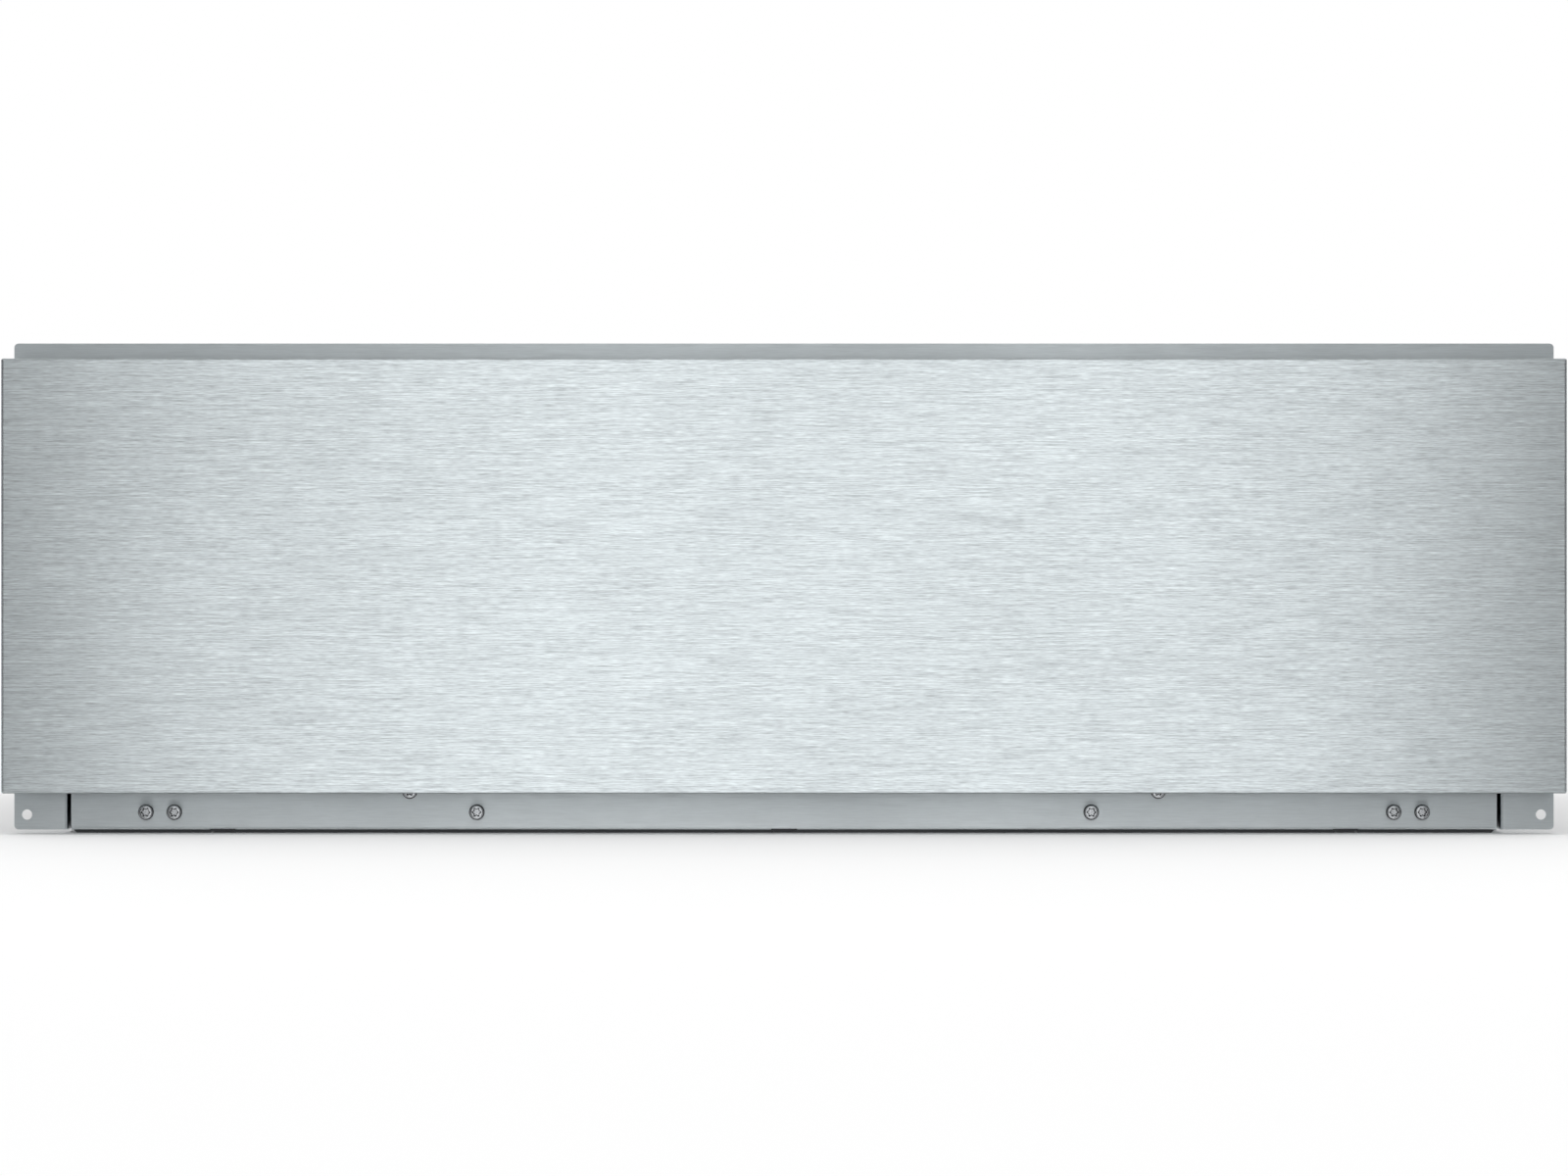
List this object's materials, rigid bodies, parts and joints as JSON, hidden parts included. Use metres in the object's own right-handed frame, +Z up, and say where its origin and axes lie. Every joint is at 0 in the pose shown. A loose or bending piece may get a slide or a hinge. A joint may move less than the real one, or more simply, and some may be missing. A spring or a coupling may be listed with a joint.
{
  "type": "warming drawer",
  "caption": "Built-in push-to-open warming drawer with a wide brushed steel front, a heated glass floor, circulating air and full-extension ball slides in a sheet casing.",
  "frame": {"origin": "middle of the base, halfway between the front panel's face and the back of the casing", "axes": "front faces -Y, width along X, +Z up; in the picture +X is to the right"},
  "size_m": [0.756, 0.57, 0.2382],
  "materials": {
    "brushed_panel": "brushed along the width, satin",
    "satin_frame": "satin",
    "galvanised_sheet": "galvanised steel, matte",
    "dark_base": "dark coated steel",
    "zinc_steel": "zinc plated",
    "ball_steel": "polished",
    "cage_steel": "yellow passivated",
    "drawer_steel": "fine brushed",
    "black_glass": "polished black glass",
    "black_plastic": "moulded, matte",
    "grey_plastic": "moulded, matte",
    "white_plastic": "moulded, matte",
    "mineral_wool": "fibrous",
    "silicone": "matte",
    "buffer_rubber": "matte",
    "aluminium_sheet": "plain",
    "copper_ribbon": "flat resistance ribbon",
    "lens_amber": "clear amber",
    "board_green": "circuit board",
    "heater_sheath": "oxidised sheath",
    "knob_metal": "turned, satin"
  },
  "bodies": {
    "casing": {"front_frame": "satin_frame", "front_rail": "satin_frame", "rail_brackets": "galvanised_sheet", "rail_screws": "zinc_steel", "base_plate": "dark_base", "side_wall_left": "galvanised_sheet", "side_wall_right": "galvanised_sheet", "rear_wall": "galvanised_sheet", "top_cover": "galvanised_sheet", "top_crossbar": "galvanised_sheet", "cover_screws": "zinc_steel", "frame_rivets": "zinc_steel", "runner_outer_left": "zinc_steel", "runner_outer_right": "zinc_steel", "runner_rivets": "zinc_steel", "stop_buffers": "buffer_rubber", "latch_body": "grey_plastic", "latch_spring": "zinc_steel", "terminal_box": "grey_plastic", "terminal_block": "white_plastic", "cable_bushing": "black_plastic"},
    "runner_middle_left": {"runner_middle_left": "zinc_steel"},
    "outer_cage_left": {"outer_cage_left": "cage_steel", "outer_balls_left": "ball_steel"},
    "inner_cage_left": {"inner_cage_left": "cage_steel", "inner_balls_left": "ball_steel"},
    "runner_middle_right": {"runner_middle_right": "zinc_steel"},
    "outer_cage_right": {"outer_cage_right": "cage_steel", "outer_balls_right": "ball_steel"},
    "inner_cage_right": {"inner_cage_right": "cage_steel", "inner_balls_right": "ball_steel"},
    "drawer": {"front_panel": "brushed_panel", "panel_filler": "mineral_wool", "inner_front": "drawer_steel", "control_strip": "black_plastic", "selector_switch": "grey_plastic", "indicator_lenses": "lens_amber", "control_board": "board_green", "drawer_side_left": "drawer_steel", "drawer_side_right": "drawer_steel", "drawer_floor": "galvanised_sheet", "drawer_rear_wall": "drawer_steel", "floor_insulation": "mineral_wool", "heater_tray": "aluminium_sheet", "heating_element": "copper_ribbon", "thermostat": "heater_sheath", "warming_plate": "black_glass", "plate_seal": "silicone", "air_duct": "galvanised_sheet", "fan_motor": "grey_plastic", "ring_heater": "heater_sheath", "runner_inner_left": "zinc_steel", "runner_inner_right": "zinc_steel", "drawer_rivets": "zinc_steel", "drawer_screws": "zinc_steel", "strike_plate": "zinc_steel"},
    "fan_wheel": {"fan_wheel": "aluminium_sheet"},
    "latch_plunger": {"latch_plunger": "white_plastic"},
    "power_button": {"power_button": "knob_metal"},
    "selector_knob": {"selector_knob": "knob_metal"}
  },
  "joints": [
    {"name": "drawer_slide", "type": "slide", "parent": "casing", "child": "drawer", "axis": [0, -1, 0], "range_m": [-0.0024, 0.45]},
    {"name": "runner_middle_left_slide", "type": "slide", "parent": "casing", "child": "runner_middle_left", "axis": [0, -1, 0], "range_m": [-0.0012, 0.225]},
    {"name": "outer_cage_left_slide", "type": "slide", "parent": "casing", "child": "outer_cage_left", "axis": [0, -1, 0], "range_m": [-0.0006, 0.1125]},
    {"name": "inner_cage_left_slide", "type": "slide", "parent": "casing", "child": "inner_cage_left", "axis": [0, -1, 0], "range_m": [-0.0018, 0.3375]},
    {"name": "runner_middle_right_slide", "type": "slide", "parent": "casing", "child": "runner_middle_right", "axis": [0, -1, 0], "range_m": [-0.0012, 0.225]},
    {"name": "outer_cage_right_slide", "type": "slide", "parent": "casing", "child": "outer_cage_right", "axis": [0, -1, 0], "range_m": [-0.0006, 0.1125]},
    {"name": "inner_cage_right_slide", "type": "slide", "parent": "casing", "child": "inner_cage_right", "axis": [0, -1, 0], "range_m": [-0.0018, 0.3375]},
    {"name": "fan_spin", "type": "hinge", "parent": "drawer", "child": "fan_wheel", "pos_m": [0, 0.214, 0.1135], "axis": [0, 1, 0], "continuous": true},
    {"name": "selector_turn", "type": "hinge", "parent": "drawer", "child": "selector_knob", "pos_m": [0.18, -0.255, 0.2033], "axis": [0, 0, -1], "range_deg": [0, 240]},
    {"name": "power_press", "type": "slide", "parent": "drawer", "child": "power_button", "axis": [0, 0, -1], "range_m": [0, 0.001], "stiffness_N_per_m": 600},
    {"name": "latch_press", "type": "slide", "parent": "casing", "child": "latch_plunger", "axis": [0, 1, 0], "range_m": [0, 0.004], "stiffness_N_per_m": 600, "deforming": ["latch_spring"]}
  ],
  "couplings": [
    {"joint": "runner_middle_left_slide", "follows": "drawer_slide", "ratio": 0.5},
    {"joint": "outer_cage_left_slide", "follows": "drawer_slide", "ratio": 0.25},
    {"joint": "inner_cage_left_slide", "follows": "drawer_slide", "ratio": 0.75},
    {"joint": "runner_middle_right_slide", "follows": "drawer_slide", "ratio": 0.5},
    {"joint": "outer_cage_right_slide", "follows": "drawer_slide", "ratio": 0.25},
    {"joint": "inner_cage_right_slide", "follows": "drawer_slide", "ratio": 0.75}
  ]
}
